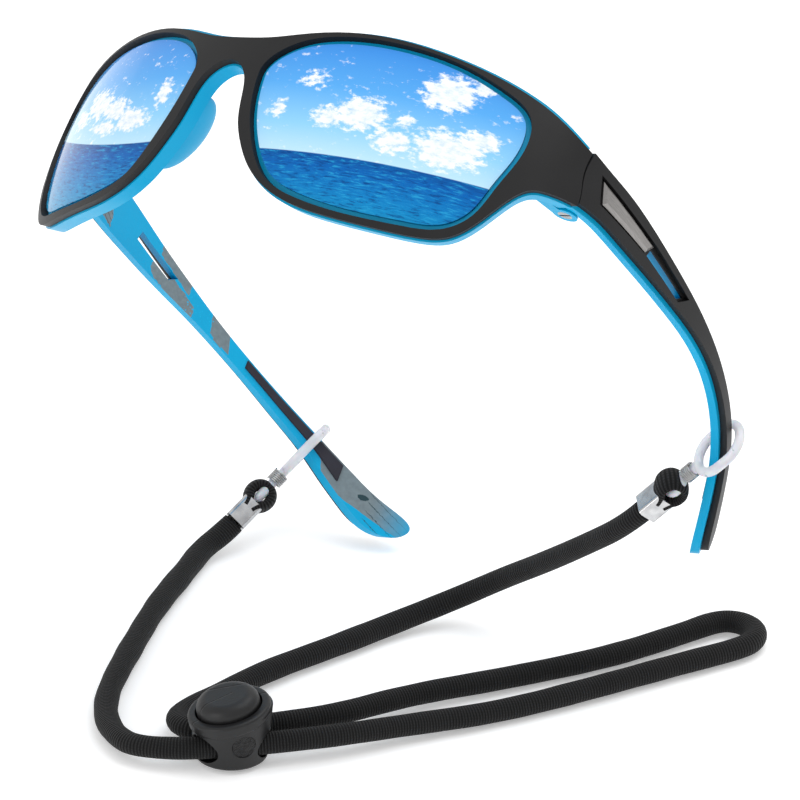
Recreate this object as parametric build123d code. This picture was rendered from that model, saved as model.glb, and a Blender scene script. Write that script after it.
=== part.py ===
from build123d import *
import math
import os

os.makedirs("parts", exist_ok=True)

# Wraparound sport sunglasses with a strap, in millimetres.
# The glasses are drawn level first: X to the wearer's left, Y from the front to the temple
# tips, Z up, with the middle of the front at the origin. They are then turned as they are
# held over the surface on which the strap lies, with the nose bridge at the row's origin.

# ---- how the glasses are held ----
NOSE_TILT = 45.0          # front raised, temples pointing down and back
SIDE_TILT = 25.0          # the wearer's left side raised
NOSE_POINT = (0, 5.0, 9.0)
REST_Z = -129.0           # the surface under the strap, below the nose bridge

# ---- front ----
FRONT_RADIUS = 100.0      # the front is part of a ball this big
CORNER_RADIUS = 24.4      # plan radius of the wrap corner
WRAP = 39.5               # degrees from the middle to the start of the corner
SHELL_T = 1.6             # black layer
FRAME_T = 3.1             # blue layer behind it
FRAME_PROUD = (1.2, 0.45)  # blue shows this far beyond the black, above and below
LENS_T = 2.0
LENS_SINK = 0.9           # lens face below the black face
LENS_CLEAR = 0.05
STEP_RING = 1.1           # blue ring seen between black and lens
SEAT_LIP = 1.3            # blue lip behind the lens edge
FRONT_HALF_HEIGHT = 27.0
SEAM = [(34.9, 40), (34.9, 9.3), (34.4, 3.6), (35.3, -0.3), (34.9, -6), (34.9, -45)]   # Y and Z
SEAM_GAP = 0.3
PAD_SIZE = (2.0, 6.4, 8.8)
PAD_PLACE = (11.0, 6.0, -3.6)
PAD_SPLAY = 16.0
PAD_LEAN = 24.0

# Outlines on the front, as arcs along and up from its middle.
TOP_EDGE = [(0, 15.6), (8, 16.0), (16, 17.6), (26, 19.3), (38, 19.7), (50, 18.6),
            (62, 16.5), (73, 13.2), (83, 9.3), (88, 8.0)]
LOWER_EDGE = [(88, -2.5), (83, -2.4), (78, -2.7), (73.6, -3.9), (69.4, -8.8), (66.2, -13.6), (62, -17.8),
              (55, -19.8), (46, -20.2), (36, -20.0), (27, -18.9), (20, -16.4), (14.8, -12.6),
              (11.2, -8), (8.6, -3), (7.3, 2), (5.6, 6.8), (2.5, 9.6), (0, 10.2)]
LENS_EDGE = [(10.2, 7.5), (11.7, 0), (15.2, -7.7), (20.2, -13.6), (28.1, -16.5), (40.6, -17.7),
             (51.4, -17.3), (60.3, -15.3), (64.2, -11.3), (66.4, -5), (68.9, 3.5), (68.4, 9.2),
             (62, 13.5), (51.2, 16.5), (38.1, 17.7), (22.4, 16.5), (13.5, 12.8)]

# ---- temples ----
OUTER_SHORT = 0.9         # the black layer's lower edge stops this far above the blue one's
OUTER_T = 1.6             # black layer
CORE_T = 1.9              # blue layer
TEMPLE_PLAN = [(71.1, 33.6), (72.4, 41), (73.0, 56), (72.8, 66), (72.0, 76), (70.4, 85.5),
               (67.5, 95), (63.4, 104), (58.3, 112), (51.2, 121), (45.5, 127.5), (41.0, 132)]
TEMPLE_TOP = [(30, 10.9), (34.9, 9.4), (40, 7.8), (46, 6.3), (56, 3.3), (66.6, -0.4), (76, -3.7),
              (85, -7.2), (95, -11.4), (104, -15.7), (110, -19.0), (118, -23.9), (124, -27.2)]
TIP_POINT = (128.6, -30.6)
TEMPLE_LOWER = [(127.2, -33.0), (123.0, -33.5), (118.9, -31.0), (114.4, -27.2), (109.7, -23.2), (104, -19.6),
                (96.6, -15.7), (87.7, -12.1), (77, -9.2), (68.6, -7.7), (58.4, -5.9), (49, -4.2), (42.6, -3.0),
                (34.9, -2.4), (30, -2.2)]
POCKET = [(38.4, 6.2), (40.4, 0.7), (56.5, -2.2), (69.3, -5.8), (72.2, -3.8), (58.2, 0.8)]
POCKET_DEPTH = 1.1
SLOT = [(58.0, 0.0), (57.4, -2.0), (68.9, -5.3), (71.2, -3.9)]
TRIM = [(39.5, 5.3), (41.1, 1.1), (55.9, -1.7), (57.6, 0.3)]
TRIM_T = 1.5
TRIM_BEVEL = 0.6
GRIP_SPAN = (93.0, 115.5) # along Y
GRIP_MARGIN = (0.5, 1.3)  # blue left showing above and below the pad
GRIP_DEPTH = 0.7
GRIP_PROUD = 0.35

# ---- hinges ----
HINGE = (66.0, 38.5)
KNUCKLE_R = 2.6
KNUCKLE_GAP = 0.2
KNUCKLE_LEVELS = (-2.9, 0.9, 4.5, 8.0)    # lower front knuckle, then the upper one
ARM_SPAN = (63.6, 66.3)   # across the front's hinge arms
ARM_START_Y = 31.5
WEB_END = (69.0, 41.0)    # the temple knuckle's web
SCREW_R = 0.8
SCREW_HEAD_R = 1.5
SCREW_HEAD_T = 0.9
INSERT_R = 1.5
INSERT_T = 2.0
BUSH_R = 1.35
HINGE_RUNNING = 0.05

# ---- strap clips ----
CLIP_Y = {"right": 111.2, "left": 107.2}   # where the ring goes round the temple
RING_ALONG = 5.8
RING_ACROSS = 4.5
SILICONE_R = 1.0
NECK_HALF = 1.3           # half the width of the neck inside the collar
COLLAR_START = 6.8
COLLAR_PITCH = 0.42
COLLAR_TURNS = 6
COLLAR_WIRE_R = 0.18
COLLAR_CLEAR = 0.05
COLLAR_TO_EYELET = 1.2
EYELET_R = 1.9
FOLD_T = 0.7              # the cord is flat where it folds over the eyelet
FOLD_WIDTH = 4.2
CRIMP_START = 15.4
CRIMP_LENGTH = 5.6
CRIMP_WIDTH = 5.8
CRIMP_DEPTH = 4.6
CRIMP_WALL = 0.5
CRIMP_BEVEL = 1.0
CLIP_DIRECTION = {"right": (1.3, -16.9, -11.0), "left": (-9.2, -11.0, -14.6)}

# ---- strap ----
CORD_D = 5.0
FIT = 0.3                 # room between the cord and what it meets or passes through
LIE = CORD_D / 2          # height of a cord's centre where it lies
# Routes: X, Y and the height above the surface, chosen by hand.
RIGHT_LEAD = [(-36.0, 11.2, 2.6), (-30.6, 4.8, LIE), (-20.6, -7.9, LIE), (-10.2, -18.6, LIE),
              (-0.2, -28.6, LIE), (7.4, -35.5, LIE), (15.2, -40.4, LIE), (23.8, -42.9, 3.0), (31.6, -42.2, 3.8)]
LOOP = [(49.6, 10.0, 3.2), (52.9, 28.7, LIE), (53.7, 50.9, LIE), (53.8, 71.5, LIE), (54.3, 83.2, LIE),
        (53.2, 88.4, LIE), (49.3, 90.9, LIE), (44.8, 90.0, LIE), (42.1, 86.3, LIE), (43.1, 78.0, LIE),
        (44.2, 59.5, LIE), (41.6, 37.6, LIE), (38.8, 15.8, 3.2)]
LEFT_LEAD = [(43.3, 54.9, 29.2), (30.5, 52.6, 19.6), (19.8, 50.0, 12.0), (12.6, 43.4, 5.8),
             (10.0, 31.0, LIE), (12.7, 14.0, LIE), (14.8, -3.0, LIE), (18.0, -14.0, LIE),
             (21.4, -24.8, 3.0), (24.6, -29.3, 3.6), (29.3, -30.6, 4.2)]

# ---- stopper ----
STOP_PLACE = (38.6, -24.8)
STOP_TURN = 72.0          # degrees from X to the way the cords pass
STOP_LIFT = 0.8           # held off the surface by the rivet
STOP_BASE_R = 7.3
STOP_TOP_R = 8.3
STOP_H = 11.0
RIM_LEAN = 12.0           # the rim and the button lean back along the cords
RIM_R = 8.5
RIM_T = 2.6
CORD_LEVEL = 4.6          # cord centres above the surface, inside the stopper
CORD_PITCH = 7.4
STOP_RUN_IN = 5.0         # the cords turn this far before the stopper's middle
STOP_SLIDE = 14.0         # and for this much sliding room after it
STOP_JOIN = -0.4          # the two cords meet end to end here, inside the far hole
WELL_FLOOR = 9.2
WELL_R = 6.9
BUTTON_R = 6.5
BUTTON_TOP = 14.6
BUTTON_BASE = 11.2
BUTTON_ROUND = 2.4
POST_SIZE = (5.0, 1.6)    # along and across the cords
POST_FOOT = 4.4
SLOT_FLOOR = 2.6
POST_CLEAR = 0.2
SPRING_R = 4.2
SPRING_WIRE_R = 0.3
SPRING_TURNS = 2.5
RIVET_R = 2.3
RIVET_SHANK_R = 1.1
RIVET_SHANK = 0.7
DIMPLE_R = 2.5
DIMPLE_DEPTH = 0.8
DIMPLE_TURN = -10.0       # degrees from X to the glossy stud
DIMPLE_LEVEL = 6.4

SIDES = {"left": 1, "right": -1}       # the wearer's left is +X
BASE = (Align.CENTER, Align.CENTER, Align.MIN)


def held(shape):
    """Turn a level piece as the glasses are held."""
    turn = Rotation(-NOSE_TILT, 0, 0) * Rotation(0, -SIDE_TILT, 0)
    return turn * Pos(*(-v for v in NOSE_POINT)) * shape


def held_point(point):
    """The same turn for one point."""
    return held(Vertex(*point)).center()


def on_side(name, shape):
    """A piece drawn on the wearer's left, held on either side."""
    return held(shape if SIDES[name] > 0 else mirror(shape, Plane.YZ))


def mirrored(points):
    """A half outline that starts or ends at the middle, continued on the other side."""
    other = [(-x, y) for x, y in points if x]
    if points[0][0] == 0:
        return other[::-1] + list(points)
    return list(points) + other[::-1]


def ray(point, distance):
    """A place on the front, carried out from the ball's centre to a flat plane."""
    along, up = (v / FRONT_RADIUS for v in point)
    return Vector(distance * math.tan(along), FRONT_RADIUS - distance,
                  distance * math.tan(up) / math.cos(along))


def shifted(points, amount, closed=True):
    """An outline moved to the right of its direction along its own normals."""
    moved = []
    last = len(points) - 1
    for i, (x, y) in enumerate(points):
        ax, ay = points[i - 1] if closed or i else points[0]
        bx, by = points[(i + 1) % len(points)] if closed or i < last else points[last]
        length = math.hypot(bx - ax, by - ay)
        moved.append((x + amount * (by - ay) / length, y - amount * (bx - ax) / length))
    return moved


# ---- front ----
NEAR, FAR = 40.0, 130.0   # the planes between which an outline's walls are drawn


def lens_walls(grow):
    """A solid whose walls point at the ball's centre, through the lens outline."""
    edge = shifted(LENS_EDGE, grow)
    return Solid.make_loft([Wire([Spline([ray(p, d) for p in edge], periodic=True).edge()])
                            for d in (NEAR, FAR)], True)


def front_walls(above=0, below=0):
    """The same for the whole front, grown above and below."""
    top = shifted(mirrored(TOP_EDGE)[::-1], above, False)
    low = shifted(mirrored(LOWER_EDGE)[::-1], below, False)
    wires = []
    for d in (NEAR, FAR):
        over = Spline([ray(p, d) for p in top])
        under = Spline([ray(p, d) for p in low])
        wires.append(Wire([over.edge(), Line(over @ 1, under @ 0).edge(), under.edge(),
                           Line(under @ 1, over @ 0).edge()]))
    return Solid.make_loft(wires, True)


def band(offset, outer, inner, start, sweep):
    """A curved band between two depths, turned about a vertical axis."""
    def at(radius, z):
        return (math.sqrt(radius * radius - z * z) - offset, z)
    out, back, half = FRONT_RADIUS - outer, FRONT_RADIUS - inner, FRONT_HALF_HEIGHT
    lines = [ThreePointArc(at(out, -half), at(out, 0), at(out, half)),
             Line(at(out, half), at(back, half)),
             ThreePointArc(at(back, half), at(back, 0), at(back, -half)),
             Line(at(back, -half), at(out, -half))]
    return Rotation(0, 0, start) * revolve(Plane.XZ * make_face(lines), Axis.Z, sweep)


def ball(outer, inner):
    """The middle of the front's skin, between two depths below its face."""
    reach = WRAP + 4
    return Pos(0, FRONT_RADIUS, 0) * band(0, outer, inner, -90 - reach, 2 * reach)


def skin(outer, inner):
    """The whole front's skin: the ball, then the wrap corners, which go on past the seams."""
    middle = Pos(0, FRONT_RADIUS, 0) * band(0, outer, inner, -90 - WRAP, 2 * WRAP)
    arm = FRONT_RADIUS - CORNER_RADIUS
    wrap = math.radians(WRAP)
    corner = Pos(arm * math.sin(wrap), FRONT_RADIUS - arm * math.cos(wrap), 0) * band(
        arm, outer, inner, WRAP - 90, 105 - WRAP)
    return middle + corner + mirror(corner, Plane.YZ)


def seam_walls(gap):
    """What lies behind the temple seams."""
    edge = Spline([(y + gap, z) for y, z in SEAM])
    end, top, low = 200, SEAM[0][1], SEAM[-1][1]
    face = make_face([edge, Line(edge @ 1, (end, low)), Line((end, low), (end, top)),
                      Line((end, top), edge @ 0)])
    return Pos(-100, 0, 0) * extrude(Plane.YZ * face, 200)


def front_shell():
    shell = skin(0, SHELL_T) & front_walls()
    shell = shell - lens_walls(STEP_RING) - mirror(lens_walls(STEP_RING), Plane.YZ)
    return shell - seam_walls(0)


def nose_pad():
    wing = scale(Sphere(1), by=PAD_SIZE)
    return Pos(*PAD_PLACE) * Rotation(0, 0, -PAD_SPLAY) * Rotation(0, -PAD_LEAN, 0) * wing


def front_knuckles():
    """The two knuckles and the arms that carry them, on the wearer's left."""
    low, low_end, high, high_end = KNUCKLE_LEVELS
    parts = []
    for base, top in ((low, low_end), (high, high_end)):
        tall = top - base
        parts.append(Pos(*HINGE, base) * Cylinder(KNUCKLE_R, tall, align=BASE))
        wide, deep = ARM_SPAN[1] - ARM_SPAN[0], HINGE[1] - ARM_START_Y
        parts.append(Pos(ARM_SPAN[0], ARM_START_Y, base) * Box(wide, deep, tall, align=(Align.MIN,) * 3))
    whole = Part() + parts
    whole -= Pos(*HINGE, low) * Cylinder(SCREW_HEAD_R, SCREW_HEAD_T, align=BASE)
    whole -= Pos(*HINGE, low) * Cylinder(SCREW_R, high_end - low, align=BASE)
    return whole - Pos(*HINGE, high_end - INSERT_T) * Cylinder(INSERT_R, INSERT_T, align=BASE)


def front_frame():
    frame = skin(SHELL_T, SHELL_T + FRAME_T) & front_walls(*FRAME_PROUD)
    frame -= seam_walls(0)
    for cut in (lens_walls(0) & ball(0, LENS_SINK + LENS_T), lens_walls(-SEAT_LIP)):
        frame = frame - cut - mirror(cut, Plane.YZ)
    for side in (nose_pad() - ball(-5, LENS_SINK + LENS_T), front_knuckles()):
        frame = frame + side + mirror(side, Plane.YZ)
    return frame


def lens():
    return lens_walls(-LENS_CLEAR) & ball(LENS_SINK, LENS_SINK + LENS_T)


# ---- temples, drawn on the wearer's left ----
def plan_band(outer, inner):
    """A tall band that follows the temple's plan between two depths below its outer face."""
    lines = [Spline(shifted(TEMPLE_PLAN, -depth, False)) for depth in (outer, inner)]
    face = make_face([lines[0], Line(lines[0] @ 1, lines[1] @ 1), lines[1],
                      Line(lines[1] @ 0, lines[0] @ 0)])
    return Pos(0, 0, -60) * extrude(face, 120)


def side_shape(above=0.0, below=0.0):
    """The temple seen from the side, as a tall block along X, with each edge moved in."""
    top = shifted(TEMPLE_TOP, above, False)
    low = shifted(TEMPLE_LOWER, below, False)
    run = Spline(top + [(TIP_POINT[0] - below, TIP_POINT[1] + above / 2)] + low)
    face = make_face([run, Line(run @ 1, run @ 0)])
    return extrude(Plane.YZ * face, 100)


def prism(points):
    """A block along X from a polygon in the side view."""
    return extrude(Plane.YZ * make_face(Polyline(*points, close=True)), 100)



def knuckle_room():
    """Space for the front's knuckles, cut from the temple."""
    low, low_end, high, high_end = KNUCKLE_LEVELS
    room = Part()
    for base, top in ((low - 10, low_end), (high, high_end + 10)):
        bottom = base - KNUCKLE_GAP
        room += Pos(*HINGE, bottom) * Cylinder(KNUCKLE_R + FIT, top - base + 2 * KNUCKLE_GAP, align=BASE)
    return room


def temple_outer():
    layer = plan_band(0, OUTER_T) & side_shape(0, OUTER_SHORT)
    layer = (layer & seam_walls(SEAM_GAP)) - prism(SLOT)
    layer -= prism(POCKET) & plan_band(-1, POCKET_DEPTH)
    return layer - knuckle_room()


def temple_core():
    whole = OUTER_T + CORE_T
    layer = plan_band(OUTER_T, whole) & side_shape()
    layer = (layer & seam_walls(SEAM_GAP)) - prism(SLOT) - knuckle_room()
    low, high = KNUCKLE_LEVELS[1] + KNUCKLE_GAP, KNUCKLE_LEVELS[2] - KNUCKLE_GAP
    knuckle = Pos(*HINGE, low) * Cylinder(KNUCKLE_R, high - low, align=BASE)
    web = Pos(HINGE[0], HINGE[1] - KNUCKLE_R + 0.4, low) * Box(
        WEB_END[0] - HINGE[0], WEB_END[1] - HINGE[1] + KNUCKLE_R - 0.4, high - low, align=(Align.MIN,) * 3)
    layer = layer + knuckle + web
    layer -= Pos(*HINGE, low) * Cylinder(BUSH_R, high - low, align=BASE)
    return layer - grip_block(whole - GRIP_DEPTH)


def grip_block(start):
    """The rubber pad's outline on the inner face, from a depth outwards."""
    whole = OUTER_T + CORE_T
    first, last = GRIP_SPAN
    span = Pos(0, first, -60) * Box(100, last - first, 120, align=(Align.MIN,) * 3)
    return side_shape(*GRIP_MARGIN) & span & plan_band(start, whole + GRIP_PROUD)


def temple_grip():
    return grip_block(OUTER_T + CORE_T - GRIP_DEPTH)


def temple_trim():
    wedge = plan_band(POCKET_DEPTH - TRIM_T, POCKET_DEPTH) & prism(TRIM)
    face = wedge.faces().sort_by(Axis.X)[-1]
    return chamfer(face.outer_wire().edges(), TRIM_BEVEL)


def hinge_screw():
    low, high = KNUCKLE_LEVELS[0], KNUCKLE_LEVELS[3]
    head = Pos(*HINGE, low) * Cylinder(SCREW_HEAD_R, SCREW_HEAD_T, align=BASE)
    head -= Pos(*HINGE, low) * Box(3 * SCREW_HEAD_R, 0.5, 0.8)
    return head + Pos(*HINGE, low + 0.5) * Cylinder(SCREW_R, high - low - 0.9, align=BASE)


def hinge_insert():
    base = KNUCKLE_LEVELS[3] - INSERT_T
    return Pos(*HINGE, base) * (Cylinder(INSERT_R, INSERT_T, align=BASE)
                                - Cylinder(SCREW_R, INSERT_T, align=BASE))


def hinge_bush():
    low, high = KNUCKLE_LEVELS[1] + KNUCKLE_GAP, KNUCKLE_LEVELS[2] - KNUCKLE_GAP
    return Pos(*HINGE, low) * (Cylinder(BUSH_R, high - low, align=BASE)
                               - Cylinder(SCREW_R + HINGE_RUNNING, high - low, align=BASE))


# ---- strap clips, drawn along their own direction from the middle of the ring ----
def between(points, where):
    """The other coordinate of a run of points at one place along Y."""
    rows = sorted((p[::-1] if points is TEMPLE_PLAN else p) for p in points)
    for (a, low), (b, high) in zip(rows, rows[1:]):
        if a <= where <= b:
            return low + (high - low) * (where - a) / (b - a)


def temple_middle(y):
    """The middle of the left temple's section at one place along Y."""
    step = 0.5
    slope = (between(TEMPLE_PLAN, y + step) - between(TEMPLE_PLAN, y - step)) / (2 * step)
    inward = (OUTER_T + CORE_T) / 2 / math.hypot(1, slope)
    height = (between(TEMPLE_TOP, y) + between(TEMPLE_LOWER, y)) / 2
    return (between(TEMPLE_PLAN, y) - inward, y + inward * slope, height)


def clip_plane(name):
    """X along the clip from the ring's middle, Z out of the ring's plane."""
    middle, ahead, behind = (temple_middle(CLIP_Y[name] + step) for step in (0, 2, -2))
    side = SIDES[name]
    places = [held_point((side * p[0], p[1], p[2])) for p in (middle, ahead, behind)]
    along = (places[1] - places[2]).normalized()
    clip = Vector(*CLIP_DIRECTION[name]).normalized()
    across = along.cross(clip).normalized()
    return Plane(origin=places[0], x_dir=clip, z_dir=clip.cross(across))


def clip_end(name, beyond=0.0):
    """A place on the clip's line past the end of the crimp."""
    plane = clip_plane(name)
    return plane.origin + plane.x_dir * (CRIMP_START + CRIMP_LENGTH + beyond)


EYELET_AT = COLLAR_START + COLLAR_TURNS * COLLAR_PITCH + COLLAR_TO_EYELET + EYELET_R


def silicone_loop():
    ring_path = SlotOverall(2 * RING_ALONG, 2 * RING_ACROSS).wire()
    start = Plane(origin=ring_path @ 0, z_dir=ring_path % 0)
    ring = sweep(start * Circle(SILICONE_R), path=ring_path)
    eyelet = Pos(EYELET_AT, 0, 0) * Torus(EYELET_R, SILICONE_R)
    neck_start = RING_ALONG - 0.2
    section = Plane.YZ * SlotOverall(2 * NECK_HALF, 2 * SILICONE_R)
    neck = Pos(neck_start, 0, 0) * extrude(section, EYELET_AT - EYELET_R + 0.2 - neck_start)
    return ring + neck + eyelet


def spring_collar():
    inner = NECK_HALF + COLLAR_CLEAR
    length = COLLAR_TURNS * COLLAR_PITCH
    path = Helix(COLLAR_PITCH, length, inner + COLLAR_WIRE_R)
    start = Plane(origin=path @ 0, z_dir=path % 0)
    coil = sweep(start * Circle(COLLAR_WIRE_R), path=path, is_frenet=True)
    return Pos(COLLAR_START + 0.3, 0, 0) * Rotation(0, 90, 0) * coil


def strap_end():
    """The cord folded over the eyelet, with both tails inside the crimp."""
    inner, middle = SILICONE_R + 0.05, EYELET_AT + EYELET_R
    tail = CRIMP_START + CRIMP_LENGTH - 0.6
    outer = inner + FOLD_T
    u_shape = Pos(middle, 0) * Circle(outer) + Pos(middle, 0) * Rectangle(
        tail - middle, 2 * outer, align=(Align.MIN, Align.CENTER))
    u_shape -= Pos(middle, 0) * Circle(inner)
    u_shape -= Pos(middle, 0) * Rectangle(CRIMP_START - middle, 2 * inner, align=(Align.MIN, Align.CENTER))
    fold = Rotation(90, 0, 0) * extrude(u_shape, FOLD_WIDTH / 2, both=True)
    return fold


def crimp():
    def tube(grow):
        wide, deep = CRIMP_WIDTH + 2 * grow, CRIMP_DEPTH + 2 * grow
        face = RectangleRounded(deep, wide, CRIMP_BEVEL + grow)
        return extrude(Plane.YZ * Rotation(0, 0, 90) * face, CRIMP_LENGTH)
    return Pos(CRIMP_START, 0, 0) * (tube(0) - tube(-CRIMP_WALL))


# ---- strap ----
def lifted(points):
    return [Vector(x, y, REST_Z + up) for x, y, up in points]


def stop_point(along, across):
    """A place on one of the cords where they pass through the stopper."""
    turn = math.radians(STOP_TURN)
    x = STOP_PLACE[0] + along * math.cos(turn) + across * math.sin(turn)
    y = STOP_PLACE[1] + along * math.sin(turn) - across * math.cos(turn)
    return Vector(x, y, REST_Z + CORD_LEVEL)


def corner_radii(points):
    """Each arc as large as its two runs allow."""
    radii = []
    for a, b, c in zip(points, points[1:], points[2:]):
        half_turn = math.radians((b - a).get_angle(c - b)) / 2
        radii.append(0.45 * min((b - a).length, (c - b).length) / math.tan(half_turn))
    return radii


def tube(points, radius):
    """A round tube along straight runs joined by arcs."""
    path = FilletPolyline(*points, radius=corner_radii(points))
    start = Plane(origin=path @ 0, z_dir=path % 0)
    return sweep(start * Circle(radius), path=path), path.length


def cord(name, points):
    body, length = tube(points, LIE)
    print(name, "radii", [round(r, 1) for r in corner_radii(points)], "length", round(length, 1),
          "volume share", round(body.volume / (math.pi * LIE ** 2 * length), 4))
    return body


def right_route():
    """From the right clip to the stopper's near hole, round the loop and back to the far hole."""
    near, far = CORD_PITCH / 2, -CORD_PITCH / 2
    straight = STOP_SLIDE + STOP_RUN_IN
    lead = [clip_end("right", FIT), clip_end("right", 3.2)] + lifted(RIGHT_LEAD)
    passing = [stop_point(-STOP_RUN_IN, near), stop_point(straight, near)]
    back = [stop_point(straight, far), stop_point(STOP_JOIN, far)]
    return lead + passing + lifted(LOOP) + back


def left_route():
    """From the left clip to the middle of the stopper's far hole."""
    lead = [clip_end("left", FIT), clip_end("left", 6.0)] + lifted(LEFT_LEAD)
    return lead + [stop_point(along, -CORD_PITCH / 2) for along in (-STOP_RUN_IN, STOP_JOIN)]


# ---- stopper, drawn with X along the cords and its base on the surface ----
def leaning(shape):
    """Turned with the slanted rim."""
    return Pos(0, 0, WELL_FLOOR) * Rotation(0, -RIM_LEAN, 0) * Pos(0, 0, -WELL_FLOOR) * shape


def stopper_body():
    top, spare = STOP_LIFT + STOP_H, 2.5
    flare = (STOP_TOP_R - STOP_BASE_R) / STOP_H
    cup = Pos(0, 0, STOP_LIFT) * Solid.make_cone(STOP_BASE_R, STOP_TOP_R + flare * spare, STOP_H + spare)
    cup = fillet(cup.edges().group_by(Axis.Z)[0], 0.8)
    cup &= leaning(Pos(0, 0, -20) * Cylinder(40, 20 + top - RIM_T / 2, align=BASE))
    rim = Pos(0, 0, top - RIM_T) * Cylinder(RIM_R, RIM_T, align=BASE)
    cup += leaning(fillet(rim.edges().filter_by(GeomType.CIRCLE), 0.7))
    cup -= leaning(Pos(0, 0, WELL_FLOOR) * Cylinder(WELL_R, top, align=BASE))
    for across in (-1, 1):
        bore = Rotation(0, 90, 0) * Cylinder(LIE + FIT, 4 * STOP_TOP_R)
        cup -= Pos(0, across * CORD_PITCH / 2, CORD_LEVEL) * bore
    room = 2 * POST_CLEAR
    cup -= leaning(Pos(0, 0, SLOT_FLOOR) * Box(POST_SIZE[0] + room, POST_SIZE[1] + room, top, align=BASE))
    cup -= Cylinder(RIVET_SHANK_R, STOP_LIFT + RIVET_SHANK, align=BASE)
    return cup - dimple(DIMPLE_R, STOP_TOP_R)


def dimple(radius, reach):
    """A round recess, or the stud in it, on the face that looks outwards past the cords."""
    turn = Rotation(0, 0, DIMPLE_TURN - STOP_TURN)
    wall = STOP_BASE_R + (STOP_TOP_R - STOP_BASE_R) * (DIMPLE_LEVEL - STOP_LIFT) / STOP_H
    return turn * Pos(wall - DIMPLE_DEPTH, 0, DIMPLE_LEVEL) * Rotation(0, 90, 0) * Cylinder(
        radius, reach, align=BASE)


def stopper_stud():
    return dimple(DIMPLE_R - 0.1, DIMPLE_DEPTH * 0.6)


def stopper_button():
    head = Pos(0, 0, BUTTON_BASE) * Cylinder(BUTTON_R, BUTTON_TOP - BUTTON_BASE, align=BASE)
    head = fillet(head.edges().group_by(Axis.Z)[-1], BUTTON_ROUND)
    post = Pos(0, 0, POST_FOOT) * Box(*POST_SIZE, BUTTON_BASE - POST_FOOT + 1, align=BASE)
    return leaning(head + post)


def stopper_spring():
    height = BUTTON_BASE - WELL_FLOOR - 2 * SPRING_WIRE_R - 0.1
    path = Helix(height / SPRING_TURNS, height, SPRING_R)
    start = Plane(origin=path @ 0, z_dir=path % 0)
    coil = sweep(start * Circle(SPRING_WIRE_R), path=path, is_frenet=True)
    return leaning(Pos(0, 0, WELL_FLOOR + SPRING_WIRE_R + 0.05) * coil)


def stopper_rivet():
    head = Cylinder(RIVET_R, STOP_LIFT, align=BASE)
    head = fillet(head.edges().group_by(Axis.Z)[0], 0.35)
    head -= Box(3 * RIVET_R, 0.6, 0.8)
    return head + Cylinder(RIVET_SHANK_R, STOP_LIFT + RIVET_SHANK, align=BASE)


def main():
    export("front_shell", held(front_shell()))
    export("front_frame", held(front_frame()))
    for fastener in (hinge_screw, hinge_insert):
        pair = [on_side(name, fastener()) for name in SIDES]
        export(fastener.__name__ + "s", Compound(children=[s for p in pair for s in p.solids()]))
    for name in SIDES:
        for piece in (lens, temple_outer, temple_core, temple_trim, temple_grip, hinge_bush):
            export(piece.__name__ + "_" + name, on_side(name, piece()))
        spot = clip_plane(name).location
        for piece in (silicone_loop, spring_collar, strap_end, crimp):
            export(piece.__name__ + "_" + name, spot * piece())
    export("cord_right", cord("cord_right", right_route()))
    export("cord_left", cord("cord_left", left_route()))
    stand = Location((*STOP_PLACE, REST_Z), (0, 0, STOP_TURN))
    near_turn = len(RIGHT_LEAD) + 2
    mouths = [tube(run, LIE + FIT)[0] for run in (left_route()[-4:], right_route()[near_turn - 1:near_turn + 2])]
    export("stopper_body", stand * stopper_body() - mouths)
    for piece in (stopper_stud, stopper_button, stopper_spring, stopper_rivet):
        export(piece.__name__, stand * piece())


def export(name, shape):
    export_step(shape, "parts/" + name + ".step")


main()
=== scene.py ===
# %% [markdown]
# Wraparound sport glasses with a retainer strap. The hard pieces come from the imported model and
# get their finishes here. The strap is soft, so it is made here along its own smooth line. This
# first cell loads the model, moves each piece's placement into its mesh and sets the floor's
# height.

# %% Load the model
import bmesh
import bpy
import math
from mathutils import Matrix, Vector


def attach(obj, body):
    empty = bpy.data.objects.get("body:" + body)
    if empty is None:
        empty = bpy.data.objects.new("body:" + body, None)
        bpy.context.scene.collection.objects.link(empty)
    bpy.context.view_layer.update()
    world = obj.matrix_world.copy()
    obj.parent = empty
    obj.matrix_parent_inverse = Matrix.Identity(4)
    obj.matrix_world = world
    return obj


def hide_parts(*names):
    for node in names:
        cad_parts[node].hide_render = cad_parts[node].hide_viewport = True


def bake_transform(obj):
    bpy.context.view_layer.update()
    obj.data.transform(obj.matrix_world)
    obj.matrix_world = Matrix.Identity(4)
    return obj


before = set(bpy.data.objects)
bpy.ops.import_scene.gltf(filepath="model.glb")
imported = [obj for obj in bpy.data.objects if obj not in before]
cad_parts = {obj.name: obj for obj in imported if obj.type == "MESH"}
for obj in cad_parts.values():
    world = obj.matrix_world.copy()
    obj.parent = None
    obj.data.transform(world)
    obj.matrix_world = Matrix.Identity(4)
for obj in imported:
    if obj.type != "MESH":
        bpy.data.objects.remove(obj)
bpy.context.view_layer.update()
FLOOR = -0.129

# %% [markdown]
# The camera comes first, because every later choice is judged through it. It stands far off with
# a long lens, so the glasses look nearly flat and free of perspective.

# %% Camera
CAMERA_AT = (2.7842, -1.6052, 1.6194)
CAMERA_RIGHT = Vector((0.5063, 0.8624, 0.0037))
CAMERA_UP = Vector((-0.4034, 0.233, 0.8848))

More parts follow.
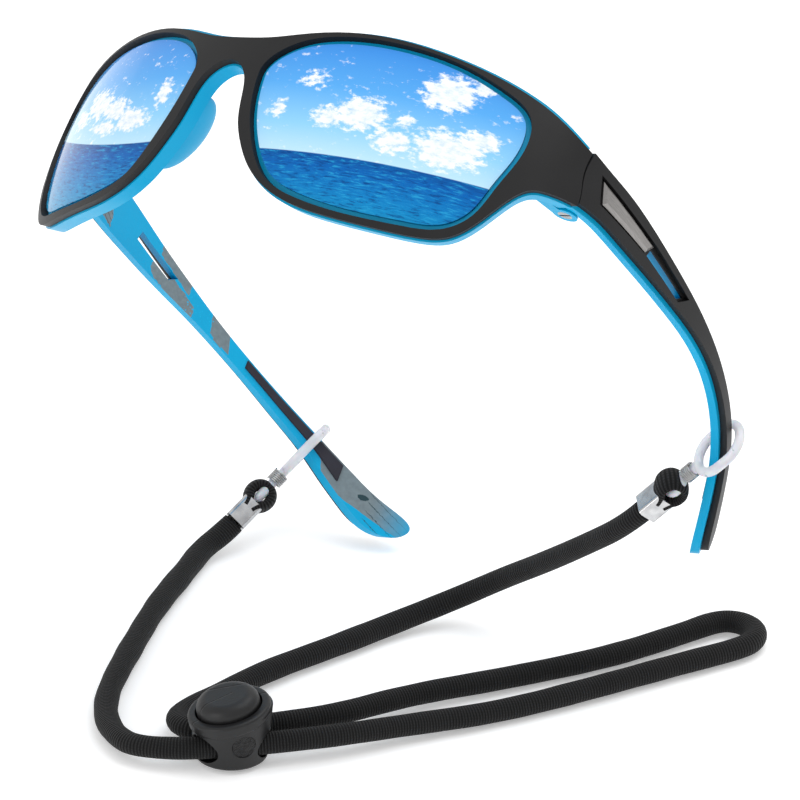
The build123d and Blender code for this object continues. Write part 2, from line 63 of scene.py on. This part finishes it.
lens_data = bpy.data.cameras.new("camera")
lens_data.sensor_width = 36
lens_data.lens = 817.9
lens_data.clip_start, lens_data.clip_end = 0.1, 50
camera = bpy.data.objects.new("camera", lens_data)
axes = Matrix((CAMERA_RIGHT, CAMERA_UP, CAMERA_RIGHT.cross(CAMERA_UP))).transposed()
camera.matrix_world = Matrix.Translation(CAMERA_AT) @ axes.to_4x4()
bpy.context.scene.collection.objects.link(camera)
bpy.context.scene.camera = camera
print("camera looks along", -axes.col[2])

# %% [markdown]
# The strap is one woven cord, 5 mm thick. It could be a curve with a bevel, but the weave needs
# to know how far along and how far round the cord it is, so each strand is a mesh tube with its
# own UV map. The tube follows a smooth line through the same route points as the model's cord.

# %% Lines and tubes
CORD = 0.005
TUBE_SIDES = 20
LINE_STEPS = 14
SWELLS = (610, 233)    # how fast the cord's width wanders along it, per metre
TWIST = 91             # and how fast it twists


def smooth_line(points):
    """Points read along a NURBS line that the route's points control."""
    curve = bpy.data.curves.new("route", "CURVE")
    curve.dimensions = "3D"
    curve.resolution_u = LINE_STEPS
    spline = curve.splines.new("NURBS")
    spline.points.add(len(points) - 1)
    for control, place in zip(spline.points, points):
        control.co = (*(v / 1000 for v in place), 1)
    spline.order_u = 3
    spline.use_endpoint_u = True
    holder = bpy.data.objects.new("route", curve)
    mesh = bpy.data.meshes.new_from_object(holder)
    line = [v.co.copy() for v in mesh.vertices]
    bpy.data.objects.remove(holder)
    return line


def length_of(line):
    return sum((b - a).length for a, b in zip(line, line[1:]))


def tube(name, line, wide, tall, across=None, waves=0.0):
    """A closed tube of oval section; its UV map holds decimetres along and turns round."""
    bm = bmesh.new()
    uv = bm.loops.layers.uv.new("UVMap")
    rings, travelled, distances = [], 0.0, []
    for i, place in enumerate(line):
        ahead = line[min(i + 1, len(line) - 1)] - line[max(i - 1, 0)]
        if i:
            travelled += (place - line[i - 1]).length
        distances.append(travelled)
        side = across or ahead.cross(Vector((0, 0, 1))).normalized()
        up = side.cross(ahead).normalized()
        quick, slow = (math.sin(travelled * SWELLS[0]), math.sin(travelled * SWELLS[1] + 1.3))
        swell = 1 + waves * (quick * 0.5 + slow * 0.5)
        lean = waves * 4 * math.sin(travelled * TWIST)
        ring = []
        for k in range(TUBE_SIDES):
            turn = 2 * math.pi * k / TUBE_SIDES + lean
            sideways = side * math.cos(turn) * wide / 2 * swell
            ring.append(bm.verts.new(place + (sideways + up * math.sin(turn) * tall / 2)))
        rings.append(ring)
    for i, (near, far) in enumerate(zip(rings, rings[1:])):
        for k in range(TUBE_SIDES):
            after = (k + 1) % TUBE_SIDES
            face = bm.faces.new((near[k], near[after], far[after], far[k]))
            face.smooth = True
            corners = ((i, k), (i, k + 1), (i + 1, k + 1), (i + 1, k))
            for loop, (row, step) in zip(face.loops, corners):
                loop[uv].uv = (distances[row] * 10, step / TUBE_SIDES)
    for ring, order in ((rings[0], -1), (rings[-1], 1)):
        bm.faces.new(ring[::order])
    bmesh.ops.recalc_face_normals(bm, faces=bm.faces)
    mesh = bpy.data.meshes.new(name)
    bm.to_mesh(mesh)
    piece = bpy.data.objects.new(name, mesh)
    bpy.context.scene.collection.objects.link(piece)
    return piece


# %% [markdown]
# At each clip the cord is pressed flat, folded through the silicone eyelet and held by the crimp.
# The fold is a wide, thin tube along a U, drawn in the clip's own directions: X runs from the
# ring to the cord, and Z stands on the flat side of the ring.

# %% The folded strap ends
CLIPS = {"left": ((66.34, 71.21, -72.0), (-0.4496, -0.5375, -0.7134), (0.1287, 0.7514, -0.6472)),
         "right": ((-38.82, 37.36, -111.5), (0.0643, -0.8364, -0.5444), (0.6541, 0.4473, -0.61))}
FOLD_WIDE, FOLD_THICK = 0.0062, 0.0023
FOLD = [(17.2, 0.9), (15.7, 1.2), (14.5, 2.2), (12.7, 2.3), (11.3, 1.1),
        (11.3, -1.1), (12.7, -2.3), (14.5, -2.2), (15.7, -1.2), (17.2, -0.9)]
folds = {}
for side, (ring, ahead, out) in CLIPS.items():
    ring, ahead, out = Vector(ring), Vector(ahead), Vector(out)
    line = smooth_line([ring + ahead * x + out * z for x, z in FOLD])
    across = out.cross(ahead).normalized()
    folds[side] = tube("fold_" + side, line, FOLD_WIDE, FOLD_THICK, across)
    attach(folds[side], "temple_" + side)
    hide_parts("strap_end_" + side)
    print(folds[side].name, "length", round(length_of(line), 4))

# %% [markdown]
# The right strand leaves its clip, lies across the floor, passes through the stopper, turns in
# the big loop and comes back into the stopper's other hole. The left strand comes down from its
# clip and meets it there.

# %% The strap's strands
RIGHT_ROUTE = [
    (-37.4, 19.5, -123.1), (-37.3, 17.1, -124.7), (-36.0, 11.2, -126.4), (-30.6, 4.8, -126.5),
    (-20.6, -7.9, -126.5), (-10.2, -18.6, -126.5), (-0.2, -28.6, -126.5), (7.4, -35.5, -126.5),
    (15.2, -40.4, -126.5), (23.8, -42.9, -126.0), (31.6, -42.2, -125.2), (40.6, -30.7, -124.4),
    (48.0, -7.9, -124.4), (49.6, 10.0, -125.8), (52.9, 28.7, -126.5), (53.7, 50.9, -126.5),
    (53.8, 71.5, -126.5), (54.3, 83.2, -126.5), (53.2, 88.4, -126.5), (49.3, 90.9, -126.5),
    (44.8, 90.0, -126.5), (42.1, 86.3, -126.5), (43.1, 78.0, -126.5), (44.2, 59.5, -126.5),
    (41.6, 37.6, -126.5), (38.8, 15.8, -125.8), (41.0, -5.6, -124.4), (35.0, -24.0, -124.4)]
LEFT_ROUTE = [
    (56.8, 59.8, -87.2), (54.2, 56.7, -91.3), (43.3, 54.9, -99.8), (30.5, 52.6, -109.4),
    (19.8, 50.0, -117.0), (12.6, 43.4, -123.2), (10.0, 31.0, -126.5), (12.7, 14.0, -126.5),
    (14.8, -3.0, -126.5), (18.0, -14.0, -126.5), (21.4, -24.8, -126.0), (24.6, -29.3, -125.4),
    (29.3, -30.6, -124.8), (33.5, -28.4, -124.4), (35.0, -24.0, -124.4)]
strands = {}
for side, route in (("right", RIGHT_ROUTE), ("left", LEFT_ROUTE)):
    line = smooth_line(route)
    strand = tube("strand_" + side, line, CORD * 0.98, CORD * 0.88, waves=0.05)
    strands[side] = strand
    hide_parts("cord_" + side)
    print(strand.name, "length", round(length_of(line), 4))
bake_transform(strands["right"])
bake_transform(strands["left"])

# %% [markdown]
# The scene is plain: a white floor, an even white sky for soft shading, and two broad lights that
# put long soft highlights on the plastic.

# %% Floor and light
FLOOR_HALF = 6
FLOOR_BELOW = 0.0001    # so that the cord, which lies on it, doesn't flicker
bpy.context.scene.view_settings.view_transform = "Standard"
bm = bmesh.new()
bmesh.ops.create_grid(bm, x_segments=1, y_segments=1, size=FLOOR_HALF)
bmesh.ops.translate(bm, verts=bm.verts, vec=(0, 0, FLOOR - FLOOR_BELOW))
floor_mesh = bpy.data.meshes.new("floor")
bm.to_mesh(floor_mesh)
floor = bpy.data.objects.new("floor", floor_mesh)
bpy.context.scene.collection.objects.link(floor)

world = bpy.data.worlds.new("studio")
bpy.context.scene.world = world
world.use_nodes = True
world.node_tree.nodes["Background"].inputs["Color"].default_value = (1, 1, 1, 1)
world.node_tree.nodes["Background"].inputs["Strength"].default_value = 0.8


MIDDLE = Vector((0, 0, -0.06))


def soft_light(name, place, size, power):
    """A square light that faces the middle of the glasses."""
    data = bpy.data.lights.new(name, "AREA")
    data.size, data.energy = size, power
    lamp = bpy.data.objects.new(name, data)
    lamp.location = place
    aim = MIDDLE - Vector(place)
    lamp.rotation_euler = aim.to_track_quat("-Z", "Y").to_euler()
    bpy.context.scene.collection.objects.link(lamp)


soft_light("key", (0.1, 0.5, 1.2), 1.0, 7)
soft_light("side", (0.2, -1.3, 0.35), 0.6, 3)
print("lights", [lamp.name for lamp in bpy.data.lights])

# %% [markdown]
# Finishes are written as Python expressions. A Value wraps one shader socket: adding or
# multiplying it adds the Math node that does so. A Finish is one material, and its node method
# adds any other node, with its settings first and then its inputs.

# %% Values and finishes
class Value:
    """A shader socket that grows Math nodes when it is used in an expression."""

    def __init__(self, finish, socket):
        self.finish, self.socket = finish, socket

    def math(self, operation, *others):
        inputs = dict(enumerate((self, *others)))
        return self.finish.node("ShaderNodeMath", {"operation": operation}, inputs)

    def flipped(self, operation, other):
        return self.finish.node("ShaderNodeMath", {"operation": operation}, {0: other, 1: self})

    def __add__(self, other): return self.math("ADD", other)
    def __sub__(self, other): return self.math("SUBTRACT", other)
    def __mul__(self, other): return self.math("MULTIPLY", other)
    def __truediv__(self, other): return self.math("DIVIDE", other)
    def __pow__(self, other): return self.math("POWER", other)
    def __rsub__(self, other): return self.flipped("SUBTRACT", other)
    def __neg__(self): return self.math("MULTIPLY", -1.0)
    def __abs__(self): return self.math("ABSOLUTE")
    __radd__, __rmul__ = __add__, __mul__

    def sine(self): return self.math("SINE")
    def most(self, other): return self.math("MAXIMUM", other)
    def least(self, other): return self.math("MINIMUM", other)

    def step(self, low, high):
        """0 below low, 1 above high, and a soft ramp between them."""
        return self.finish.node("ShaderNodeMapRange", {"interpolation_type": "SMOOTHSTEP"},
                                {"Value": self, "From Min": low, "From Max": high})


class Finish:
    """One material."""

    def __init__(self, name, **numbers):
        self.material = bpy.data.materials.new(name)
        self.material.use_nodes = True
        self.tree = self.material.node_tree
        self.shader = self.tree.nodes["Principled BSDF"]
        self.put(self.shader, {key.replace("_", " "): value for key, value in numbers.items()})

    def put(self, node, inputs):
        for key, value in inputs.items():
            socket = node.inputs[key]
            if isinstance(value, Value):
                self.tree.links.new(value.socket, socket)
            elif isinstance(value, tuple) and socket.type == "RGBA":
                socket.default_value = (*value[:3], 1)
            else:
                socket.default_value = value

    def node(self, kind, settings=None, inputs=None, output=0):
        node = self.tree.nodes.new(kind)
        for key, value in (settings or {}).items():
            if key == "stops":
                ramp = node.color_ramp
                while len(ramp.elements) < len(value):
                    ramp.elements.new(0.5)
                for element, (place, colour) in zip(ramp.elements, value):
                    element.position, element.color = place, (*colour, 1)
            else:
                setattr(node, key, value)
        self.put(node, inputs or {})
        return Value(self, node.outputs[output])

    def place(self):
        return self.node("ShaderNodeTexCoord", output=3)

    def dot(self, vector, direction):
        return self.node("ShaderNodeVectorMath", {"operation": "DOT_PRODUCT"},
                         {0: vector, 1: direction}, "Value")

    def vector(self, x=0.0, y=0.0, z=0.0):
        return self.node("ShaderNodeCombineXYZ", None, {"X": x, "Y": y, "Z": z})

    def parts(self, vector):
        return [self.node("ShaderNodeSeparateXYZ", None, {0: vector}, k) for k in range(3)]

    def noise(self, vector, scale, detail=3.0, rough=0.55, warp=0.0):
        return self.node("ShaderNodeTexNoise", None, {
            "Vector": vector, "Scale": scale, "Detail": detail,
            "Roughness": rough, "Distortion": warp})

    def mix(self, mask, low, high):
        """A colour between two colours."""
        return self.node("ShaderNodeMix", {"data_type": "RGBA"}, {0: mask, 6: low, 7: high}, 2)

    def ramp(self, mask, *stops):
        return self.node("ShaderNodeValToRGB", {"stops": stops}, {0: mask})

    def finish(self, colour, rough=None, height=None, depth=0.0001, strength=1.0, glow=None):
        """Feeds the shader what changes over the surface."""
        links = {"Base Color": colour, "Roughness": rough, "Emission Color": glow}
        self.put(self.shader, {key: value for key, value in links.items() if value is not None})
        if height is not None:
            bump = self.node("ShaderNodeBump", None, {
                "Height": height, "Distance": depth, "Strength": strength})
            self.put(self.shader, {"Normal": bump})
        return self.material


def dress(material, *names):
    """Gives a model node its finish."""
    for name in names:
        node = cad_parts[name]
        node.data.materials.clear()
        node.data.materials.append(material)
    print(material.name, "on", len(names), "pieces")


def both(name):
    return name + "_left", name + "_right"


# %% [markdown]
# Patterns on the glasses run with the glasses, which are held tilted. Three dot products turn a
# place in the scene into millimetres across the front, back along the temples, and up.

# %% The glasses' own directions
ACROSS, BACK, UP = (906.3, 298.8, 298.8), (0.0, 707.1, -707.1), (-422.6, 640.9, 640.9)


def level(finish):
    place = finish.place()
    across = finish.dot(place, ACROSS)
    back = finish.dot(place, BACK) + 5.0
    up = finish.dot(place, UP) + 9.0
    return across, back, up


# %% [markdown]
# The black layer is matte nylon. Fine moulding grain catches the light, so there is a small bump
# from noise, and the roughness wanders a little from handling.

# %% Matte black nylon
black = Finish("matte_black", Specular_IOR_Level=0.28)
place = black.place()
grain = black.noise(place, 2600, 2.0)
cloudy = black.noise(place, 60, 3.0)
tone = black.ramp(cloudy, (0.3, (0.009, 0.009, 0.0095)), (0.7, (0.014, 0.014, 0.0148)))
matte_black = black.finish(tone, 0.42 + cloudy * 0.14, grain, 0.00005, 0.35)
dress(matte_black, "front_shell", *both("temple_outer"))

# %% [markdown]
# The rear layer is the same nylon in cyan blue, a little smoother. The colour is nearly even,
# with slight drifts where the melt cooled at different speeds.

# %% Cyan nylon
blue = Finish("cyan_nylon", Specular_IOR_Level=0.2)
place = blue.place()
grain = blue.noise(place, 2400, 2.0)
cloudy = blue.noise(place, 35, 2.0)
CYAN_STOPS = (0.25, (0.0, 0.33, 0.60)), (0.75, (0.0, 0.39, 0.67))
tone = blue.ramp(cloudy, *CYAN_STOPS)
cyan_nylon = blue.finish(tone, 0.3 + cloudy * 0.12, grain, 0.00004, 0.3)
dress(cyan_nylon, "front_frame")

# %% [markdown]
# The temples' blue layer carries a grey splash print on its inner face. The patches are placed
# along the temple and their edges are broken with noise, with scratch lines and drops round
# them, as such prints have. The direction that the surface faces keeps the print off the edges.

# %% Printed temple cores
printed = Finish("printed_cyan", Specular_IOR_Level=0.2)
across, back, up = level(printed)
flat = printed.vector(back * 0.1, up * 0.1)
edge = (printed.noise(flat, 4.5, 4.0, 0.6) - 0.5) * 2.6
fine = (printed.noise(flat, 22.0, 2.0) - 0.5) * 0.8
along_slope = up + back * 0.37


def patch(start, end, low, high, shear=0.0, ragged=1.0):
    """A printed patch between two places along the temple and two heights across it."""
    wobble = (edge + fine) * ragged
    run = back + along_slope * shear
    inside = (run - start + wobble).least(end - run + wobble)
    across_it = (along_slope - low + wobble * 0.6).least(high - along_slope + wobble * 0.6)
    return inside.least(across_it).step(-0.05, 0.05)


patches = [
    patch(30, 54.5, 14.6, 24.5, 0.35), patch(64.5, 75.0, 22.3, 25.5),
    patch(63.5, 77.5, 17.6, 21.6), patch(77.0, 79.8, 18.8, 21.0, 0.3),
    patch(86.4, 88.7, 20.4, 40.0, 0.1, 0.15), patch(89.5, 95.0, 20.8, 40.0, 0.3, 0.15),
    patch(117.4, 140.0, 14.0, 40.0, 0.3, 0.4)]
facing = printed.dot(printed.node("ShaderNodeTexCoord", output=1), ACROSS) * 0.001
inner = (facing * across * -0.02).step(0.5, 0.7)
mask = patches[0]
for other in patches[1:]:
    mask = mask.most(other)
mask = mask * inner
drops = printed.node("ShaderNodeTexVoronoi", {"feature": "F1"}, {"Vector": flat, "Scale": 13.0})
splash = (0.22 - drops).step(0, 0.04) * (back - 74.0).step(0, 1.0)
splash = splash * (84.0 - back).step(0, 1.0) * inner
lines = (back * 3.1 + up * 5.3 + edge).sine().step(0.93, 0.98) * (back - 44.0).step(0, 1)
lines = lines * (50.0 - back).step(0, 1)
tone = printed.ramp(printed.noise(printed.place(), 35, 2.0), *CYAN_STOPS)
grey = printed.ramp(printed.noise(flat, 9.0, 3.0),
                    (0.3, (0.15, 0.19, 0.21)), (0.7, (0.19, 0.24, 0.26)))
colour = printed.mix(mask, tone, grey)
colour = printed.mix(splash, colour, (0.0, 0.42, 0.70))
colour = printed.mix(lines * mask, colour, (0.02, 0.022, 0.025))
hairs = (back * 2.3 + up * 3.4 + fine * 3.0).sine().step(0.95, 0.99) * (back - 121.0).step(0, 1)
blot = 1.0 - ((back - 120.4) ** 2 + (up + 27.6) ** 2 * 2.0) ** 0.5 + fine
hairs = hairs.most(blot.step(0.0, 0.2))
colour = printed.mix(hairs * inner, colour, (0.02, 0.05, 0.06))
grain = printed.noise(printed.place(), 2400, 2.0)
printed_cyan = printed.finish(colour, 0.34 + mask * 0.1, grain, 0.00004, 0.3)
dress(printed_cyan, *both("temple_core"))

# %% [markdown]
# The lenses have a blue mirror coat; the bright sky, white clouds and rippled sea it shows are a
# painted reflection in the lens colour. No image is used: the sky is a ramp by height, each cloud
# is a round patch broken up by noise, and the sea is noise stretched along the horizon. The two
# lenses see the same scene from slightly different angles, so each has its own horizon line and
# clouds.

# %% Mirrored lenses, with a painted reflection
def painted_lens_reflection(name, horizon, clouds):
    # The sky, cloud and sea colours built below are all painted reflection in the lens's base
    # colour.
    coat = Finish(name, Roughness=0.1, Coat_Weight=0.08, Coat_Roughness=0.03,
                  Specular_IOR_Level=0.1)
    across, back, up = level(coat)
    height, start, slope, curve = horizon
    sea_line = height + (across - start) * slope + (across - start) ** 2 * curve
    above = up - sea_line
    sky = coat.ramp(above / 27.0, (0.0, (0.50, 0.76, 0.93)), (0.22, (0.28, 0.62, 0.92)),
                    (0.55, (0.10, 0.40, 0.85)), (1.0, (0.035, 0.24, 0.74)))
    flat = coat.vector(across * 0.1, up * 0.16, 0.3)
    puffs = coat.noise(flat, 6.0, 7.0, 0.62)
    wisps = coat.noise(flat, 2.2, 5.0, 0.6)
    body = (wisps - 0.60) * 1.2
    for x, z, wide, tall, weight in clouds:
        dx, dz = (across - x) / wide, (above - z) / tall
        body = body.most((1 - (dx * dx + dz * dz) ** 0.5) * weight)
    cover = (body + (puffs - 0.52) * 1.7).step(0.02, 0.42)
    shade = coat.ramp(puffs, (0.35, (0.66, 0.78, 0.90)), (0.6, (0.95, 0.97, 1.0)))
    sky = coat.mix(cover, sky, shade)
    swell = coat.vector(across * 0.05, above * 0.30)
    ripple = coat.noise(swell, 7.0, 6.0, 0.68, 0.4)
    depth = (-above / 13.0).least(1.0)
    sea = coat.ramp(depth, (0.0, (0.001, 0.085, 0.33)), (0.18, (0.001, 0.12, 0.44)),
                    (0.55, (0.003, 0.20, 0.52)), (1.0, (0.006, 0.30, 0.58)))
    sea = coat.mix((ripple - 0.52).step(0.0, 0.12) * 0.7, sea, (0.02, 0.36, 0.66))
    sea = coat.mix((0.48 - ripple).step(0.0, 0.12) * 0.75, sea, (0.0, 0.045, 0.20))
    colour = coat.mix(above.step(-0.12, 0.12), sea, sky)
    return coat.finish(colour)


# Each cloud: across, above the horizon, half width, half height, weight.
LEFT_CLOUDS = [(48.5, 17.5, 6.5, 5.0, 1.0), (53.5, 20.5, 3.0, 3.0, 0.7), (34.5, 9.6, 6.5, 4.6, 1.0),
               (28.0, 8.0, 4.5, 3.0, 0.8), (22.0, 16.0, 4.0, 2.6, 0.45),
               (42.0, 5.0, 5.5, 3.4, 0.75),
               (52.0, 5.5, 8.0, 5.0, 1.0), (16.5, 9.0, 2.2, 2.6, 0.7), (43.0, 9.5, 2.4, 2.0, 0.6),
               (57.0, 9.0, 4.0, 3.0, 0.8)]
RIGHT_CLOUDS = [(-42.0, 8.8, 7.5, 4.4, 1.0), (-33.0, 7.6, 7.0, 3.4, 0.9),
                (-25.0, 5.4, 8.0, 3.2, 0.9), (-17.0, 11.0, 3.0, 4.0, 0.7),
                (-50.0, 5.0, 5.0, 3.0, 0.8), (-36.0, 3.6, 8.0, 2.0, 0.7)]
dress(painted_lens_reflection("painted_sky_reflection_left", (-8.3, 14.6, 0.05, 0.0), LEFT_CLOUDS), "lens_left")
dress(painted_lens_reflection("painted_sky_reflection_right", (-7.6, -14.0, 0.03, 0.0048), RIGHT_CLOUDS), "lens_right")

# %% [markdown]
# The wedge set into each temple is brushed dark metal. Brushing leaves fine streaks along the
# wedge, so the noise is stretched along the temple and squeezed across it.

# %% Brushed metal wedges
brushed = Finish("brushed_wedge", Metallic=1.0)
across, back, up = level(brushed)
stretched = brushed.vector(back * 0.3, (up + back * 0.3) * 14.0, across * 6.0)
streaks = brushed.noise(stretched, 1.0, 3.0)
tone = brushed.ramp(streaks, (0.3, (0.23, 0.22, 0.215)), (0.7, (0.36, 0.35, 0.34)))
dress(brushed.finish(tone, 0.3 + streaks * 0.25, streaks, 0.00003, 0.4), *both("temple_trim"))

# %% [markdown]
# The pads under the temple tips are soft rubber, purple black and very matte, with a fine skin.

# %% Rubber grips
grip = Finish("grip_rubber", Specular_IOR_Level=0.3)
skin = grip.noise(grip.place(), 3200, 2.0)
wear = grip.noise(grip.place(), 90, 3.0)
tone = grip.ramp(wear, (0.3, (0.019, 0.018, 0.027)), (0.7, (0.028, 0.027, 0.038)))
dress(grip.finish(tone, 0.62 + wear * 0.14, skin, 0.00004, 0.4), *both("temple_grip"))

# %% [markdown]
# The clips are milky silicone, which lets some light through and has a soft shine.

# %% Silicone
milky = Finish("milky_silicone", Roughness=0.28, Transmission_Weight=0.35, IOR=1.41,
               Subsurface_Weight=0.35, Subsurface_Scale=0.002, Coat_Weight=0.3)
haze = milky.noise(milky.place(), 400, 3.0)
tone = milky.ramp(haze, (0.3, (0.78, 0.80, 0.86)), (0.7, (0.90, 0.91, 0.95)))
dress(milky.finish(tone, 0.22 + haze * 0.15), *both("silicone_loop"))

# %% [markdown]
# The crimps are plated and polished, with a slight satin where they were pressed. The coils and
# the screws are plain bright steel, and the hinge inserts are brass.

# %% Bright metals
plate = Finish("plated_crimp", Metallic=1.0)
rub = plate.noise(plate.place(), 260, 2.0)
tone = plate.ramp(rub, (0.35, (0.42, 0.42, 0.43)), (0.65, (0.66, 0.66, 0.66)))
dress(plate.finish(tone, 0.14 + rub * 0.14, rub, 0.00001, 0.2), *both("crimp"))
wire = Finish("bright_wire", Metallic=1.0)
drawn = wire.noise(wire.place(), 600, 2.0)
tone = wire.ramp(drawn, (0.3, (0.34, 0.34, 0.34)), (0.7, (0.5, 0.5, 0.5)))
dress(wire.finish(tone, 0.2 + drawn * 0.16), *both("spring_collar"), *both("hinge_bush"),
      "hinge_screws", "stopper_rivet", "stopper_spring")
brass = Finish("insert_brass", Metallic=1.0)
turned = brass.noise(brass.place(), 1500, 2.0)
tone = brass.ramp(turned, (0.3, (0.50, 0.33, 0.12)), (0.7, (0.68, 0.47, 0.19)))
dress(brass.finish(tone, 0.25 + turned * 0.15), "hinge_inserts")

# %% [markdown]
# The strap is a knitted black cord. Seen close, it has fine ribs straight across it, each made of
# little stitches. The ribs come from a sine wave along the cord, the stitches from one round it,
# and slow noise keeps it from looking printed. The colour is darker where the weave is low, a
# painted shade in the grooves between ribs and stitches, and lighter on the rib tops.

# %% Woven cord
RIBS_PER_DECIMETRE = 100 / 0.62
STITCHES_ROUND = 26
weave = Finish("woven_cord", Roughness=0.8, Specular_IOR_Level=0.25,
               Sheen_Weight=0.04, Sheen_Roughness=0.5)
along, around, _ = weave.parts(weave.node("ShaderNodeTexCoord", output=2))
drift = weave.noise(weave.place(), 260, 3.0)
ribs = (along * (RIBS_PER_DECIMETRE * 2 * math.pi) + drift * 5.0).sine() * 0.5 + 0.5
stitches = (around * (STITCHES_ROUND * 2 * math.pi) + along * 60.0).sine() * 0.5 + 0.5
fuzz = weave.noise(weave.place(), 5200, 2.0)
height = ribs * 0.7 + ribs * stitches * 0.3 + fuzz * 0.25
# Colour follows the weave height: painted shade in the low grooves and lighter rib tops, with
# random tone from the drift noise.
tone = weave.ramp(height * (0.7 + drift * 0.6), (0.1, (0.0012, 0.0012, 0.0013)),
                  (0.55, (0.004, 0.004, 0.0042)), (1.0, (0.014, 0.014, 0.0145)))
woven_cord = weave.finish(tone, 0.92 - ribs * 0.22, height, 0.00022, 0.9)
for piece in (*strands.values(), *folds.values()):
    piece.data.materials.append(woven_cord)
print(woven_cord.name, "on", len(strands) + len(folds), "pieces")

# %% [markdown]
# The stopper is moulded black plastic with a satin surface. Its two mould halves leave a fine
# line down the cup and another across the button, drawn here as narrow grooves. The stud in its
# side is polished.

# %% Stopper plastics
STOPPER_X, STOPPER_Y = 0.0386, -0.0248
BUTTON_LOW = -0.1164
satin = Finish("satin_black", Specular_IOR_Level=0.4)
skin = satin.noise(satin.place(), 2200, 2.0)
drift = satin.noise(satin.place(), 120, 3.0)
tone = satin.ramp(drift, (0.3, (0.005, 0.005, 0.0055)), (0.7, (0.010, 0.010, 0.0105)))
x, y, z = satin.parts(satin.place())
dx, dy = x - STOPPER_X, y - STOPPER_Y
body_line = abs(dx * 1000 - dy * 40).step(0.08, 0.26).most(dy * 4000)
cap_line = abs(dx * 800 - dy * 480 + 2.4).step(0.08, 0.26).most((BUTTON_LOW - z) * 4000)
groove = body_line.least(1.0) * cap_line.least(1.0)
tone = satin.mix(groove, (0.001, 0.001, 0.001), tone)
satin_black = satin.finish(tone, 0.34 + drift * 0.16, skin * 0.2 + groove, 0.00025, 0.6)
dress(satin_black, "stopper_body", "stopper_button")
gloss = Finish("gloss_black", Specular_IOR_Level=0.3)
speck = gloss.noise(gloss.place(), 900, 4.0)
tone = gloss.ramp(speck, (0.3, (0.003, 0.003, 0.003)), (0.7, (0.010, 0.010, 0.011)))
dress(gloss.finish(tone, 0.08 + speck * 0.1, speck, 0.0012, 0.9), "stopper_stud")

# %% [markdown]
# The floor is plain white.

# %% Floor finish
paper = Finish("paper", Roughness=0.9, Specular_IOR_Level=0.1, Emission_Strength=0.3)
tone = paper.ramp(paper.noise(paper.place(), 3, 1.0),
                  (0.0, (0.93, 0.93, 0.93)), (1.0, (0.95, 0.95, 0.95)))
floor.data.materials.append(paper.finish(tone, glow=(1.0, 1.0, 1.0)))
